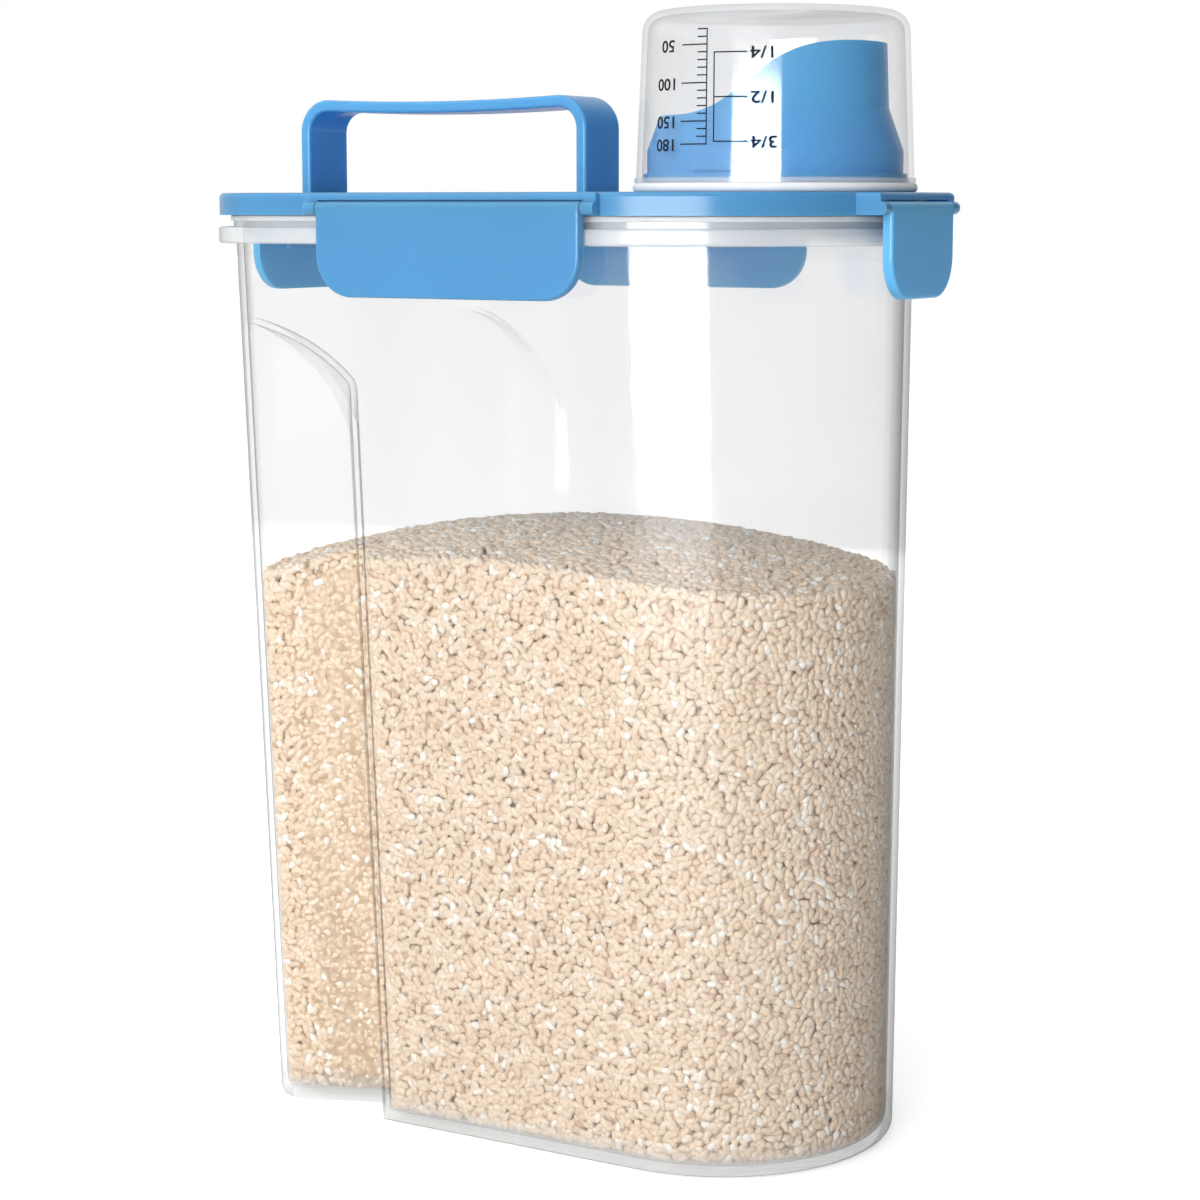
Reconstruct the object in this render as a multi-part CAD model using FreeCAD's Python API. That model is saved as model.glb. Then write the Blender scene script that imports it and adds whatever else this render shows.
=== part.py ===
import FreeCAD, Part
import math
import os

# Rice storage container: a clear tub with a latched lid, a strap handle, and a measuring cup
# that is stored upside down over the pouring spout.
# Frame: +X towards the spout, +Z up, origin under the middle of the base. All sizes in mm.

# Tub walls, given at the floor and just under the rim
rear_reach_at_floor = 92.0
rear_reach_at_rim = 100.6
nose_reach_at_floor = 99.2
nose_reach_at_rim = 100.6
half_width_at_floor = 53.8
half_width_at_rim = 63.5
rear_corner_at_floor = 20.0
rear_corner_at_rim = 28.0
rim_underside_height = 270.0
tub_wall = 2.0
tub_floor = 3.0
base_edge_radius = 3.4
inner_base_radius = 2.4

# Rim flange and the neck above it
flange_overhang = 5.3
flange_thickness = 4.9
flange_edge_radius = 0.9
neck_overhang = 0.8
neck_height = 1.8

# Grip recess in each side: a ramp in from the front, then a long tail out to the rear corner
grip_length_at_floor = 51.4
grip_length_at_rim = 55.0
grip_lead_length = 4.2
grip_lead_depth = 2.2
grip_ramp_length = 12.5
grip_depth = 16.0
grip_tail_length = 23.0
grip_tail_depth = 6.5
grip_end_depth = 3.5
grip_top_height = 247.4
grip_arch_radius = 50.0
grip_inner_radius = 5.0

# Gasket between the neck and the lid
gasket_height = 1.7
gasket_overhang = 1.6
gasket_edge_radius = 0.5

# Lid
lid_overhang = 5.0
lid_height = 6.6
lid_plate = 2.2
lid_skirt = 2.2
lid_edge_radius = 1.4
plug_clearance = 0.6
plug_wall = 2.0
plug_depth = 4.2

# Latch hinges: a barrel on the latch turns on a pin between two ears of the lid
barrel_radius = 1.9
barrel_to_skirt_gap = 0.4
barrel_to_plate_gap = 0.4
pin_radius = 0.9
pin_clearance = 0.05
ear_length = 4.0
ear_end_gap = 0.4
pin_grip = 3.0
bracket_root = 6.0

# Latches
latch_plate = 3.0
latch_drop = 25.7
latch_corner_radius = 12.0
latch_edge_radius = 0.9
hook_gap = 1.0
hook_bite = 1.0
hook_thickness = 1.6
hook_end_margin = 14.0
side_latch_length = 89.0
side_latch_centre = -6.4
front_latch_length = 43.6
rear_latch_length = 50.0

# Carry handle
handle_rear_margin = 4.7
handle_to_seal_gap = 16.5
handle_height = 29.2
handle_width = 21.0
handle_strap = 3.5
handle_corner_radius = 10.0
handle_sag = 1.1
handle_edge_radius = 0.9
foot_tab_inset = 3.0
foot_tab_thickness = 2.3
foot_barb_height = 1.8
foot_barb_reach = 0.9

# Pour spout, round about its own upright axis
seal_front_margin = 1.8
spout_wall = 2.0
spout_hole_clearance = 0.3
spout_sleeve_step = 3.6
spout_sleeve_depth = 5.6
spout_bead_reach = 0.8
spout_bead_height = 1.2
spout_bead_gap = 0.2
spout_base_step = 1.5
spout_base_height = 3.0
spout_to_cup_gap = 0.6
spout_foot_height = 2.4
spout_collar_step = 1.1
spout_collar_height = 6.6
spout_cone_height = 12.2
spout_cone_step = 4.4
spout_lip_step = 0.8
spout_lip_height = 20.0
spout_low_side_height = 22.0
spout_high_side_height = 42.6
spout_rise_start = 16.2
spout_rise_length = 49.0
spout_lug_width = 15.0
spout_lug_height = 3.0
spout_lug_reach = 0.7
spout_lug_lift = 0.6

# Cup seal ring
seal_clearance = 0.2
seal_overhang = 0.9
seal_height = 2.7
seal_edge_radius = 1.2

# Measuring cup, stored mouth down
cup_mouth_radius = 40.7
cup_taper = 2.1
cup_height = 49.3
cup_wall = 1.6
cup_top_wall = 1.8
cup_corner_radius = 6.0
cup_rim_band = 0.4
cup_rim_height = 1.4

# How far a cutting shape runs past what it cuts
overrun = 12.0

# Largest difference at which two places count as the same
level_tolerance = 0.001

# Heights, radii and places that follow from the sizes above
flange_top = rim_underside_height + flange_thickness
rim_top = flange_top + neck_height
lid_bottom = rim_top + gasket_height
lid_top = lid_bottom + lid_height
plate_underside = lid_top - lid_plate
hinge_height = plate_underside - barrel_to_plate_gap - barrel_radius
hinge_offset = lid_overhang + barrel_to_skirt_gap + barrel_radius
latch_outer_offset = hinge_offset + barrel_radius
latch_inner_offset = latch_outer_offset - latch_plate
hook_top = rim_underside_height - hook_gap
hook_tip_offset = flange_overhang - hook_bite
plug_offset = tub_wall + plug_clearance
cup_top_radius = cup_mouth_radius - cup_taper
seal_outer_radius = cup_mouth_radius + seal_overhang
spout_foot_radius = cup_mouth_radius - cup_wall - spout_to_cup_gap
spout_base_radius = spout_foot_radius - spout_base_step
spout_sleeve_radius = spout_base_radius - spout_sleeve_step
spout_collar_radius = spout_foot_radius - spout_collar_step
spout_neck_radius = spout_collar_radius - spout_cone_step
spout_lip_radius = spout_neck_radius - spout_lip_step
spout_reach = nose_reach_at_rim + lid_overhang - seal_front_margin - seal_outer_radius
handle_back = handle_rear_margin - rear_reach_at_rim - lid_overhang
handle_length = spout_reach - seal_outer_radius - handle_to_seal_gap - handle_back
spout_hole_radius = spout_sleeve_radius + spout_hole_clearance
spout_bead_radius = spout_sleeve_radius + spout_bead_reach
cup_mouth_height = lid_top + seal_height

UP = FreeCAD.Vector(0, 0, 1)


def point(x, y, z):
    return FreeCAD.Vector(x, y, z)


def between(low, high, height):
    """Wall size at a height, from its size at the floor and under the rim."""
    return low + (high - low) * height / rim_underside_height


def plan_wire(rear, nose, half_width, corner, z):
    """Plan outline: straight rear with round corners, straight sides, half-round nose."""
    centre = nose - half_width
    bend = corner * math.sqrt(0.5)
    swing = half_width * math.sqrt(0.5)
    rear_left = point(-rear, half_width - corner, z)
    rear_right = point(-rear, corner - half_width, z)
    right_back = point(corner - rear, -half_width, z)
    left_back = point(corner - rear, half_width, z)
    right_front = point(centre, -half_width, z)
    left_front = point(centre, half_width, z)
    tip = point(nose, 0, z)
    right_bend = point(corner - rear - bend, corner - half_width - bend, z)
    left_bend = point(corner - rear - bend, half_width - corner + bend, z)
    right_swing = point(centre + swing, -swing, z)
    left_swing = point(centre + swing, swing, z)
    edges = [
        Part.makeLine(rear_left, rear_right),
        Part.Arc(rear_right, right_bend, right_back).toShape(),
        Part.makeLine(right_back, right_front),
        Part.Arc(right_front, right_swing, tip).toShape(),
        Part.Arc(tip, left_swing, left_front).toShape(),
        Part.makeLine(left_front, left_back),
        Part.Arc(left_back, left_bend, rear_left).toShape(),
    ]
    return Part.Wire(edges)


def wall_wire(height, inset):
    """Outline of the tub wall at a height, drawn in by an inset."""
    rear = between(rear_reach_at_floor, rear_reach_at_rim, height) - inset
    nose = between(nose_reach_at_floor, nose_reach_at_rim, height) - inset
    half_width = between(half_width_at_floor, half_width_at_rim, height) - inset
    corner = between(rear_corner_at_floor, rear_corner_at_rim, height) - inset
    return plan_wire(rear, nose, half_width, corner, height)


def rim_wire(offset, z):
    """Outline at the rim, grown outwards by an offset."""
    return plan_wire(
        rear_reach_at_rim + offset,
        nose_reach_at_rim + offset,
        half_width_at_rim + offset,
        rear_corner_at_rim + offset,
        z,
    )


def rim_slab(offset, bottom, top):
    return Part.Face(rim_wire(offset, bottom)).extrude(UP * (top - bottom))


def rim_ring(inner_offset, outer_offset, bottom, top):
    return rim_slab(outer_offset, bottom, top).cut(rim_slab(inner_offset, bottom, top))


def edges_at(shape, height):
    """Edges that lie level at a height."""
    found = []
    for edge in shape.Edges:
        box = edge.BoundBox
        if max(abs(box.ZMin - height), abs(box.ZMax - height)) < level_tolerance:
            found.append(edge)
    return found


def shifted_path(path, distance):
    """Move each stretch of an open path sideways and join the stretches again."""
    moved = []
    for start, end in zip(path[:-1], path[1:]):
        run = end - start
        side = point(-run.y, run.x, 0).normalize() * distance
        moved.append((start + side, run))
    joined = [moved[0][0]]
    for (first, run), (second, next_run) in zip(moved[:-1], moved[1:]):
        gap = second - first
        turn = run.x * next_run.y - run.y * next_run.x
        joined.append(first + run * ((gap.x * next_run.y - gap.y * next_run.x) / turn))
    joined.append(moved[-1][0] + moved[-1][1])
    return joined


def grip_front(height):
    """Front edge of the recess at a height, counted from the rear wall."""
    rear = between(rear_reach_at_floor, rear_reach_at_rim, height)
    return between(grip_length_at_floor, grip_length_at_rim, height) - rear


def grip_wire(height, growth):
    """Plan of the recess in the near side at a height, grown into the tub by a wall."""
    wall = -between(half_width_at_floor, half_width_at_rim, height)
    rear = -between(rear_reach_at_floor, rear_reach_at_rim, height)
    step = grip_front(height)
    deep = step - grip_ramp_length
    path = [
        point(step + grip_lead_length * overrun / grip_lead_depth, wall - overrun, height),
        point(step - grip_lead_length, wall + grip_lead_depth, height),
        point(deep, wall + grip_depth, height),
        point(deep - grip_tail_length, wall + grip_tail_depth, height),
        point(rear - overrun, wall + grip_end_depth, height),
    ]
    path = shifted_path(path, -growth)
    path.append(point(rear - overrun, wall - overrun, height))
    return Part.makePolygon(path + [path[0]])


def grip_arch(growth):
    """Side view of the recess: straight up from below the floor, then an arch to the rear."""
    radius = grip_arch_radius + growth
    spring = grip_top_height - grip_arch_radius
    front = grip_front(spring)
    centre = front - grip_arch_radius
    bend = radius * math.sqrt(0.5)
    back = -rear_reach_at_rim - overrun
    far = front + overrun * (1 + grip_lead_length / grip_lead_depth)
    y = -half_width_at_rim - overrun
    crown = point(centre, y, spring + radius)
    start = point(centre + radius, y, spring)
    edges = [
        Part.makeLine(point(back, y, -overrun), point(far, y, -overrun)),
        Part.makeLine(point(far, y, -overrun), point(far, y, spring)),
        Part.makeLine(point(far, y, spring), start),
        Part.Arc(start, point(centre + bend, y, spring + bend), crown).toShape(),
        Part.makeLine(crown, point(back, y, spring + radius)),
        Part.makeLine(point(back, y, spring + radius), point(back, y, -overrun)),
    ]
    depth = overrun + half_width_at_rim
    return Part.Face(Part.Wire(edges)).extrude(point(0, depth, 0))


def grip_space(growth):
    """Space that a hand takes in the near side, grown by a wall for the tub's inside."""
    top = grip_top_height + overrun
    plan = Part.makeLoft([grip_wire(-overrun, growth), grip_wire(top, growth)], True, True)
    space = plan.common(grip_arch(growth))
    return space.makeFillet(grip_inner_radius + growth, grip_inner_edges(space))


def grip_inner_edges(space):
    """Edges of the recess that lie well inside the wall."""
    found = []
    for edge in space.Edges:
        middle = edge.valueAt((edge.FirstParameter + edge.LastParameter) / 2)
        wall = -between(half_width_at_floor, half_width_at_rim, middle.z)
        rear = -between(rear_reach_at_floor, rear_reach_at_rim, middle.z)
        inside = middle.y > wall + grip_end_depth and middle.z > -overrun / 2
        if inside and middle.x > rear - overrun / 2:
            found.append(edge)
    return found


def both_sides(shape):
    return [shape, shape.mirror(point(0, 0, 0), point(0, 1, 0))]


def tub_outside():
    low = Part.makeLoft([wall_wire(0, 0), wall_wire(rim_underside_height, 0)], True, True)
    low = low.makeFillet(base_edge_radius, edges_at(low, 0))
    return low.cut(both_sides(grip_space(0)))


def tub_inside():
    low = [wall_wire(tub_floor, tub_wall), wall_wire(rim_underside_height, tub_wall)]
    space = Part.makeLoft(low, True, True)
    space = space.makeFillet(inner_base_radius, edges_at(space, tub_floor))
    space = space.cut(both_sides(grip_space(tub_wall)))
    return space.fuse(rim_slab(-tub_wall, rim_underside_height, rim_top + overrun))


def container_body():
    flange = rim_slab(flange_overhang, rim_underside_height, flange_top)
    rounded = edges_at(flange, rim_underside_height) + edges_at(flange, flange_top)
    flange = flange.makeFillet(flange_edge_radius, rounded)
    neck = rim_slab(neck_overhang, flange_top, rim_top)
    whole = tub_outside().fuse([flange, neck])
    return whole.cut(tub_inside()).removeSplitter()


def lid_gasket():
    ring = rim_ring(-tub_wall, gasket_overhang, rim_top, lid_bottom)
    return ring.makeFillet(gasket_edge_radius, edges_at(ring, rim_top) + edges_at(ring, lid_bottom))


def latch_places():
    """Name, length, middle of the wall, and turn about Z for each latch."""
    right = point(side_latch_centre, -half_width_at_rim, 0)
    left = point(side_latch_centre, half_width_at_rim, 0)
    front = point(nose_reach_at_rim, 0, 0)
    rear = point(-rear_reach_at_rim, 0, 0)
    return [
        ("near_side_latch", side_latch_length, right, 0),
        ("far_side_latch", side_latch_length, left, 180),
        ("front_latch", front_latch_length, front, 90),
        ("rear_latch", rear_latch_length, rear, 270),
    ]


def placed(shape, spot, turn):
    """Carry a shape from the latch's own place, facing -Y, to its side of the tub."""
    moved = shape.copy()
    moved.rotate(point(0, 0, 0), UP, turn)
    moved.translate(spot)
    return moved


def block(x_low, x_high, offset_low, offset_high, bottom, top):
    """Box in a latch's own place, between two offsets outwards from the wall."""
    size_x = x_high - x_low
    size_y = offset_high - offset_low
    return Part.makeBox(size_x, size_y, top - bottom, point(x_low, -offset_high, bottom))


def hinge_rod(radius, x_low, x_high):
    centre = point(x_low, -hinge_offset, hinge_height)
    return Part.makeCylinder(radius, x_high - x_low, centre, point(1, 0, 0))


def latch_blank(half):
    """Latch plate with round lower corners and a softened outer edge."""
    bottom = hinge_height - latch_drop
    plate = block(-half, half, latch_inner_offset, latch_outer_offset, bottom, hinge_height)
    corners = [e for e in edges_at(plate, bottom) if e.BoundBox.XLength < e.BoundBox.YLength]
    plate = plate.makeFillet(latch_corner_radius, corners)
    front = []
    for edge in plate.Edges:
        box = edge.BoundBox
        if box.YMax < level_tolerance - latch_outer_offset and box.ZMin < hinge_height - level_tolerance:
            front.append(edge)
    return plate.makeFillet(latch_edge_radius, front)


def latch(length):
    """Latch plate with a hinge barrel along its top and a hook inside."""
    half = length / 2
    hook_half = half - hook_end_margin
    hook_bottom = hook_top - hook_thickness
    hook = block(-hook_half, hook_half, hook_tip_offset, latch_inner_offset, hook_bottom, hook_top)
    whole = latch_blank(half).fuse([hinge_rod(barrel_radius, -half, half), hook])
    bore = hinge_rod(pin_radius + pin_clearance, -half - overrun, half + overrun)
    return whole.cut(bore).removeSplitter()


def latch_pin(length):
    reach = length / 2 + ear_end_gap + pin_grip
    return hinge_rod(pin_radius, -reach, reach)


def hinge_bracket(length):
    """Part of the lid that covers a hinge barrel and holds its pin at both ends."""
    start = length / 2 + ear_end_gap
    end = start + ear_length
    bottom = hinge_height - barrel_radius
    pieces = [block(-end, end, -bracket_root, hinge_offset, plate_underside, lid_top)]
    for low, high in ((-end, -start), (start, end)):
        pieces.append(block(low, high, -bracket_root, hinge_offset, bottom, plate_underside))
        pieces.append(hinge_rod(barrel_radius, low, high))
    return pieces


def handle_tab_starts():
    """Rear edge of the tab under each handle foot."""
    inset = (handle_strap - foot_tab_thickness) / 2
    return handle_back + inset, handle_back + handle_length - inset - foot_tab_thickness


def handle_tabs():
    """Tabs under the two handle feet, which pass through the lid."""
    half = handle_width / 2 - foot_tab_inset
    tabs = []
    for x in handle_tab_starts():
        tabs.append(Part.makeBox(foot_tab_thickness, 2 * half, lid_plate, point(x, -half, plate_underside)))
    return tabs


def handle_barbs():
    """Barbs under the lid plate that keep the handle's tabs in."""
    half = handle_width / 2 - foot_tab_inset
    length = foot_tab_thickness + 2 * foot_barb_reach
    barbs = []
    for x in handle_tab_starts():
        corner = point(x - foot_barb_reach, -half, plate_underside - foot_barb_height)
        barbs.append(Part.makeBox(length, 2 * half, foot_barb_height, corner))
    return barbs


def lid_outline():
    """Lid plate with its hinge brackets, rounded along the top edge."""
    plate = rim_slab(lid_overhang, plate_underside, lid_top)
    tabs = []
    for name, length, spot, turn in latch_places():
        tabs += [placed(hinge_bracket(length)[0], spot, turn)]
    plate = plate.fuse(tabs).removeSplitter()
    return plate.makeFillet(lid_edge_radius, edges_at(plate, lid_top))


def lid():
    skirt = rim_ring(lid_overhang - lid_skirt, lid_overhang, lid_bottom, plate_underside)
    land = rim_ring(-plug_offset, neck_overhang, lid_bottom, plate_underside)
    plug = rim_ring(-plug_offset - plug_wall, -plug_offset, rim_top - plug_depth, plate_underside)
    ears = []
    pins = []
    for name, length, spot, turn in latch_places():
        ears += [placed(piece, spot, turn) for piece in hinge_bracket(length)[1:]]
        pins.append(placed(latch_pin(length), spot, turn))
    whole = lid_outline().fuse([skirt, land, plug] + ears)
    centre = point(spout_reach, 0, plate_underside - overrun)
    hole = Part.makeCylinder(spout_hole_radius, lid_plate + 2 * overrun, centre)
    relief = Part.makeCylinder(spout_bead_radius + spout_hole_clearance, overrun, centre)
    return whole.cut(pins + handle_tabs() + handle_barbs() + [hole, relief]).removeSplitter()


def bar_face(length, bottom, top, radius, sag, x_low, y):
    """Side view of one face of the handle: two uprights, round corners, sagging top."""
    high = x_low + length
    middle = x_low + length / 2
    bend = radius * (1 - math.sqrt(0.5))
    left_low = point(x_low, y, top - radius)
    left_top = point(x_low + radius, y, top)
    right_top = point(high - radius, y, top)
    right_low = point(high, y, top - radius)
    edges = [
        Part.makeLine(point(high, y, bottom), point(x_low, y, bottom)),
        Part.makeLine(point(x_low, y, bottom), left_low),
        Part.Arc(left_low, point(x_low + bend, y, top - bend), left_top).toShape(),
        Part.Arc(left_top, point(middle, y, top - sag), right_top).toShape(),
        Part.Arc(right_top, point(high - bend, y, top - bend), right_low).toShape(),
        Part.makeLine(right_low, point(high, y, bottom)),
    ]
    return Part.Face(Part.Wire(edges))


def carry_handle():
    """Strap handle with a tab and barbs under each foot."""
    across = point(0, handle_width, 0)
    near = -handle_width / 2
    top = lid_top + handle_height
    outer = bar_face(handle_length, lid_top, top, handle_corner_radius, handle_sag, handle_back, near)
    length = handle_length - 2 * handle_strap
    radius = handle_corner_radius - handle_strap
    inner = bar_face(length, lid_top, top - handle_strap, radius, handle_sag, handle_back + handle_strap, near)
    strap = outer.extrude(across).cut(inner.extrude(across))
    sides = []
    for edge in strap.Edges:
        box = edge.BoundBox
        if box.YLength < level_tolerance and box.ZMax > lid_top + level_tolerance:
            sides.append(edge)
    strap = strap.makeFillet(handle_edge_radius, sides)
    return strap.fuse(handle_tabs() + handle_barbs()).removeSplitter()


def turned(profile, x):
    """Round solid about an upright axis, from radius and height pairs."""
    points = [point(radius, 0, z) for radius, z in profile]
    face = Part.Face(Part.makePolygon(points + [points[0]]))
    solid = face.revolve(point(0, 0, 0), UP, 360)
    solid.translate(point(x, 0, 0))
    return solid


def spout_levels():
    """Heights of the steps of the spout, from its base to its lip."""
    base_top = lid_top + spout_base_height
    foot_top = base_top + spout_foot_height
    collar_top = foot_top + spout_collar_height
    cone_top = collar_top + spout_cone_height
    lip_top = cone_top + spout_lip_height
    return base_top, foot_top, collar_top, cone_top, lip_top


def pour_spout():
    """Open spout: sleeve in the lid, foot ring, collar, cone and a neck cut on a slant."""
    base_top, foot_top, collar_top, cone_top, lip_top = spout_levels()
    bottom = plate_underside - spout_sleeve_depth
    bead_top = plate_underside - spout_bead_gap
    bead_bottom = bead_top - spout_bead_height
    inside = spout_sleeve_radius - spout_wall
    profile = [
        (inside, bottom),
        (spout_sleeve_radius, bottom),
        (spout_bead_radius, bead_bottom),
        (spout_bead_radius, bead_top),
        (spout_sleeve_radius, bead_top),
        (spout_sleeve_radius, lid_top),
        (spout_base_radius, lid_top),
        (spout_base_radius, base_top),
        (spout_foot_radius, base_top),
        (spout_foot_radius, foot_top),
        (spout_collar_radius, foot_top),
        (spout_collar_radius, collar_top),
        (spout_neck_radius, cone_top),
        (spout_lip_radius, lip_top),
        (spout_lip_radius - spout_wall, lip_top),
        (spout_neck_radius - spout_wall, cone_top),
        (inside, collar_top),
    ]
    solid = turned(profile, spout_reach)
    return solid.cut(spout_slant()).fuse(both_sides(spout_lug(foot_top))).removeSplitter()


def spout_slant():
    """Space above the spout's mouth, which is low at the rear and swings up to the front."""
    depth = spout_collar_radius + overrun
    low = lid_top + spout_low_side_height
    high = lid_top + spout_high_side_height
    top = high + overrun
    behind = spout_reach - depth
    ahead = spout_reach + depth
    start = spout_reach - spout_rise_start
    end = start + spout_rise_length
    middle = start + spout_rise_length / 2
    swing = Part.BezierCurve()
    swing.setPoles([
        point(start, -depth, low),
        point(middle, -depth, low),
        point(middle, -depth, high),
        point(end, -depth, high),
    ])
    edges = [
        Part.makeLine(point(behind, -depth, low), point(start, -depth, low)),
        swing.toShape(),
        Part.makeLine(point(end, -depth, high), point(ahead, -depth, high)),
        Part.makeLine(point(ahead, -depth, high), point(ahead, -depth, top)),
        Part.makeLine(point(ahead, -depth, top), point(behind, -depth, top)),
        Part.makeLine(point(behind, -depth, top), point(behind, -depth, low)),
    ]
    return Part.Face(Part.Wire(edges)).extrude(point(0, 2 * depth, 0))


def spout_lug(foot_top):
    """Small pad on the collar that steadies the cup."""
    outer = spout_collar_radius + spout_lug_reach
    bottom = foot_top + spout_lug_lift
    centre = point(spout_reach, 0, bottom)
    ring = Part.makeCylinder(outer, spout_lug_height, centre)
    ring = ring.cut(Part.makeCylinder(spout_collar_radius - spout_wall / 2, spout_lug_height, centre))
    corner = point(spout_reach - spout_lug_width / 2, -outer - overrun, bottom)
    return ring.common(Part.makeBox(spout_lug_width, outer + overrun, spout_lug_height, corner))


def cup_seal():
    inner = spout_base_radius + seal_clearance
    profile = [
        (inner, lid_top),
        (seal_outer_radius, lid_top),
        (seal_outer_radius, cup_mouth_height),
        (inner, cup_mouth_height),
    ]
    ring = turned(profile, spout_reach)
    rims = edges_at(ring, lid_top) + edges_at(ring, cup_mouth_height)
    outer = [e for e in rims if e.BoundBox.XLength > 2 * seal_outer_radius - level_tolerance]
    return ring.makeFillet(seal_edge_radius, outer)


def measuring_cup():
    """Tapered cup, mouth down, with a thin band round its mouth."""
    top = cup_mouth_height + cup_height
    low = cup_mouth_height
    solid = turned([(0, low), (cup_mouth_radius, low), (cup_top_radius, top), (0, top)], spout_reach)
    solid = solid.makeFillet(cup_corner_radius, edges_at(solid, top))
    inner_top = top - cup_top_wall
    slope = (cup_mouth_radius - cup_top_radius) / cup_height
    inner_high = cup_top_radius - cup_wall + slope * cup_top_wall
    mouth = cup_mouth_radius - cup_wall
    space = turned([(0, low), (mouth, low), (inner_high, inner_top), (0, inner_top)], spout_reach)
    space = space.makeFillet(cup_corner_radius - cup_wall, edges_at(space, inner_top))
    band_top = low + cup_rim_height
    outer = cup_mouth_radius + cup_rim_band
    band = turned([(mouth, low), (outer, low), (outer, band_top), (mouth, band_top)], spout_reach)
    return solid.fuse(band).cut(space).removeSplitter()


def save(name, shape):
    solids = shape.Solids
    if len(solids) != 1 or not shape.isValid():
        raise ValueError(name + " is not one sound solid")
    solids[0].exportStep("parts/" + name + ".step")
    print(name, round(solids[0].Volume, 1))


def main():
    os.makedirs("parts", exist_ok=True)
    save("container_body", container_body())
    save("lid_gasket", lid_gasket())
    save("lid", lid())
    save("carry_handle", carry_handle())
    save("pour_spout", pour_spout())
    save("cup_seal", cup_seal())
    save("measuring_cup", measuring_cup())
    for name, length, spot, turn in latch_places():
        save(name, placed(latch(length), spot, turn))
        save(name + "_pin", placed(latch_pin(length), spot, turn))


main()
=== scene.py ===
import math

import bpy
import numpy as np
from bpy.props import FloatProperty, FloatVectorProperty, IntProperty, PointerProperty
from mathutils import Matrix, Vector
from mathutils.bvhtree import BVHTree


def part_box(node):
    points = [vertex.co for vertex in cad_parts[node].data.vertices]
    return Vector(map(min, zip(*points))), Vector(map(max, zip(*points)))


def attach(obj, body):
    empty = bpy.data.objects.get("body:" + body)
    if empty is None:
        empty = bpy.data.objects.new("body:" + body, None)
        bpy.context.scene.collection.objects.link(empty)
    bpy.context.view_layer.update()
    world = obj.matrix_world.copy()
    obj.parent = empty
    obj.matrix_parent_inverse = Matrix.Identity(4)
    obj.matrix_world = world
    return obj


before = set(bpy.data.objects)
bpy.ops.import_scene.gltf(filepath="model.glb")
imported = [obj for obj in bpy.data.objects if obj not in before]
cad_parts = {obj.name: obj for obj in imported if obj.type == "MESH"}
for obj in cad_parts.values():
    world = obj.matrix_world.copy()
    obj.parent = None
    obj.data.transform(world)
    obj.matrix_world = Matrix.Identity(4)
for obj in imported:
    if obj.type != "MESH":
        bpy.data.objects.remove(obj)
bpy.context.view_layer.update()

bl_info = {
    "name": "Rice storage container",
    "version": (1, 0, 0),
    "blender": (4, 5, 0),
    "location": "3D View > Sidebar > Rice container",
    "description": "Finishes the packed container in clear and blue plastic, with rice and a scale",
    "category": "Object",
}

TUB_LOW, TUB_HIGH = (Vector(corner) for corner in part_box("container_body"))
CUP_LOW, CUP_HIGH = (Vector(corner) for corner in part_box("measuring_cup"))
CUP_CENTRE = (CUP_LOW + CUP_HIGH) / 2.0
LID_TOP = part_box("lid")[1][2]

# Rim of the tub, counted down from its top edge
RIM_DEPTH = 0.0067
# Band at the foot of the tub where the wall is seen edge on
FOOT_BAND = 0.007
# Band at the cup's mouth that is slightly milky
MOUTH_BAND = 0.0014
# Half the height over which these bands fade out
RIM_FADE = 0.0003
FOOT_FADE = 0.004
MOUTH_FADE = 0.0004
# Front end of the grip recesses along the tub, and half the length over which its gloss changes there
GRIP_FRONT = -0.043
GRIP_FADE = 0.01
# Share of the gloss that is left behind that point, on the tub and on the cup; cutting it there is painted
# shade that keeps the softbox's reflection off the rear of the tub
TUB_REAR_GLOSS_SHARE = 0.03
CUP_REAR_GLOSS_SHARE = 1.0
# The cup's edges pass this much more light than the tub's, which makes their painted edge shade lighter
CUP_EDGE_SHADE_FACTOR = 1.5

# Dullness and paleness of the blue pieces, compared with the lid; the paleness is painted light, a paler
# copy of the blue for pieces that sit in shade
HANDLE_DULLNESS, HANDLE_PAINTED_LIGHT = 1.15, 1.3
SPOUT_DULLNESS, SPOUT_PAINTED_LIGHT = 1.3, 1.5
LATCH_DULLNESS = 1.1
FRONT_LATCH_PAINTED_LIGHT = 1.7
SHADED_LATCH_PAINTED_LIGHT = 2.0

# Grain of rice: number of sides, and the places of its rings as shares of half its length
GRAIN_SIDES = 6
GRAIN_STATIONS = (-0.80, -0.32, 0.34, 0.82)
# Most grains in one piece
GRAINS_IN_PIECE = 4000
# Tone of the grains from 0, brown, to 1, white: middle, spread and limits
MIDDLE_TONE = 0.58
TONE_SPREAD = 0.14
TONE_LIMITS = (0.05, 0.86)
# Share of chalky grains and of brown grains, and their tones
CHALKY_SHARE, CHALKY_TONE = 0.06, 0.98
BROWN_SHARE, BROWN_TONE = 0.02, 0.12

# Heap of rice: where it is highest, how far it reaches, and how much it falls to the rear, front and sides
HEAP_MIDDLE = -0.005
HEAP_REACH = 0.095
HEAP_HALF_WIDTH = 0.055
HEAP_REAR_FALL = 0.015
HEAP_FRONT_FALL = 0.0125
HEAP_SIDE_FALL = 0.006
# Height below the crest at which the tub's wall is measured for the top of the heap
HEAP_EDGE_DROP = 0.010
# How far the middle of a grain at the wall may lie above the heap
HEAP_SLACK = 0.0004
# Inside of the tub's floor, and the room that grains keep from the wall
TUB_FLOOR = TUB_LOW.z + 0.003
WALL_ROOM = 0.0004
# Room that the grains on top keep from the wall, and how far they lie below and above the heap
TOP_ROOM = 0.0014
TOP_UNEVEN = (-0.0006, 0.0005)
# Room under the core, and how much higher the wall is measured at its foot, above the tub's rounded edge
CORE_FLOOR_ROOM = 0.0006
CORE_FOOT_LIFT = 0.002
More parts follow.
